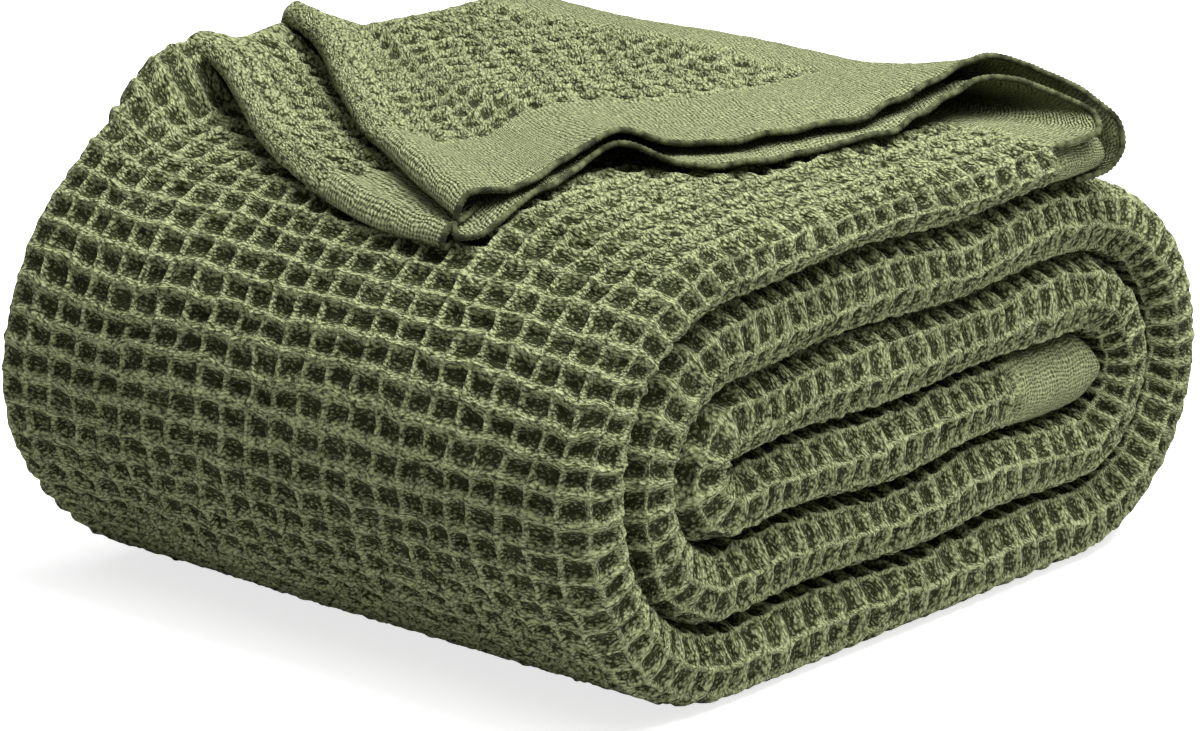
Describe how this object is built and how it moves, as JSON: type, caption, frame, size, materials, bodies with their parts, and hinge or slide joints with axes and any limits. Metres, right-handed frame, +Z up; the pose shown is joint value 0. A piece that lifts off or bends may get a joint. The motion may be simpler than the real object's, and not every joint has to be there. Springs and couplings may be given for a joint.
{
  "type": "folded and rolled waffle weave cotton blanket",
  "caption": "Sage green waffle weave cotton blanket, folded lengthwise into a thick band and rolled flat, with its outer end turned back over the top.",
  "frame": {"origin": "middle of the underside, on the surface the roll lies on", "axes": "+X along the roll's axis, out of the open side of the spiral; +Y across the roll, from the rounded long side that the camera sees towards the other; +Z up"},
  "size_m": [0.2854, 0.356, 0.1964],
  "materials": {
    "cotton": "matt cotton waffle weave in sage green"
  },
  "bodies": {
    "root": {"rolled_blanket": "cotton"}
  },
  "joints": []
}
